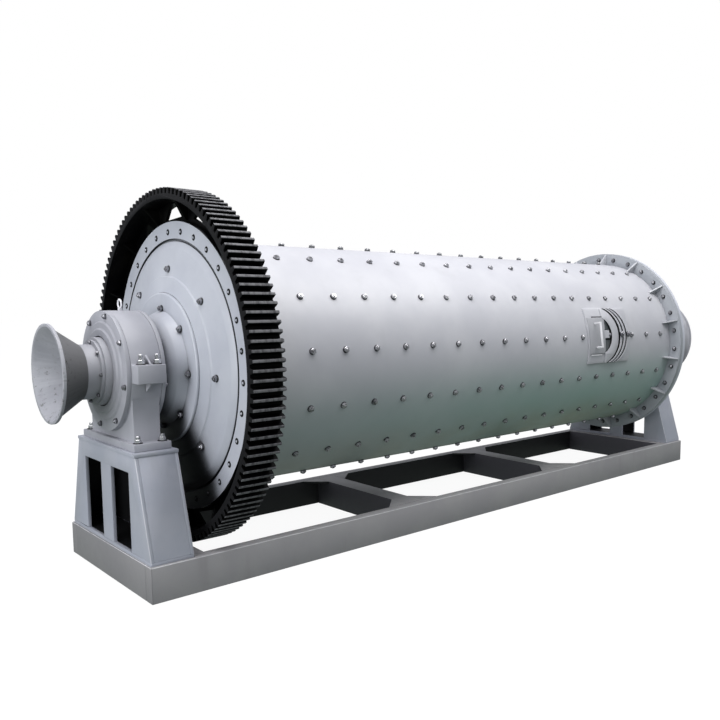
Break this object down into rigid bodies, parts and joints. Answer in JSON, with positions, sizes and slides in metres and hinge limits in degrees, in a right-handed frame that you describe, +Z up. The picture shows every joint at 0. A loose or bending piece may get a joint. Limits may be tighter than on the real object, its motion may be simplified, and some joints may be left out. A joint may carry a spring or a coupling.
{
  "type": "ball mill",
  "caption": "Horizontal cylindrical grinding mill with a girth gear, cast ends, trunnions in split bearings, feed funnel and discharge cone, on tapered pedestals and a welded base frame.",
  "frame": {"origin": "on the ground under the middle of the drum, at the middle of the rectangle that the base frame covers", "axes": "+X along the drum axis from the feed end to the discharge end, +Z up, -Y towards the manhole side"},
  "size_m": [6.335, 2.128, 2.274],
  "materials": {
    "bare_steel": "bare",
    "base_paint": "satin mid grey",
    "drum_paint": "semi-gloss light cool grey",
    "funnel_paint": "satin grey, worn at the mouth",
    "gear_black": "glossy black",
    "housing_paint": "satin light grey",
    "pedestal_paint": "satin blue grey"
  },
  "bodies": {
    "frame": {"corner_gussets": "base_paint", "cross_beam_1": "base_paint", "cross_beam_2": "base_paint", "cross_beam_3": "base_paint", "cross_beam_4": "base_paint", "discharge_bearing_base": "housing_paint", "discharge_bearing_cap": "housing_paint", "discharge_bearing_inner_cover": "housing_paint", "discharge_bearing_outer_cover": "housing_paint", "discharge_pedestal_cap_plate": "pedestal_paint", "discharge_pedestal_foot_plate": "pedestal_paint", "discharge_pedestal_inner_plate": "pedestal_paint", "discharge_pedestal_outer_plate": "pedestal_paint", "discharge_pedestal_side_plates": "pedestal_paint", "end_beam_discharge": "base_paint", "end_beam_feed": "base_paint", "feed_bearing_base": "housing_paint", "feed_bearing_cap": "housing_paint", "feed_bearing_inner_cover": "housing_paint", "feed_bearing_outer_cover": "housing_paint", "feed_pedestal_cap_plate": "pedestal_paint", "feed_pedestal_foot_plate": "pedestal_paint", "feed_pedestal_inner_plate": "pedestal_paint", "feed_pedestal_outer_plate": "pedestal_paint", "feed_pedestal_side_plates": "pedestal_paint", "lifting_eyes": "bare_steel", "side_beam_far": "base_paint", "side_beam_near": "base_paint"},
    "drum": {"discharge_flange_ribs": "drum_paint", "discharge_funnel": "funnel_paint", "discharge_head": "drum_paint", "discharge_neck_ring": "funnel_paint", "discharge_shell_flange": "drum_paint", "discharge_trunnion": "drum_paint", "drum_shell": "drum_paint", "feed_funnel": "funnel_paint", "feed_head": "drum_paint", "feed_neck_ring": "funnel_paint", "feed_shell_flange": "drum_paint", "feed_trunnion": "drum_paint", "girth_gear": "gear_black", "manhole_door": "drum_paint", "manhole_handle": "bare_steel", "manhole_plate": "drum_paint", "manhole_ring": "drum_paint"}
  },
  "joints": [
    {"name": "drum_turn", "type": "hinge", "parent": "frame", "child": "drum", "pos_m": [0, 0, 1.21], "axis": [1, 0, 0], "continuous": true}
  ]
}
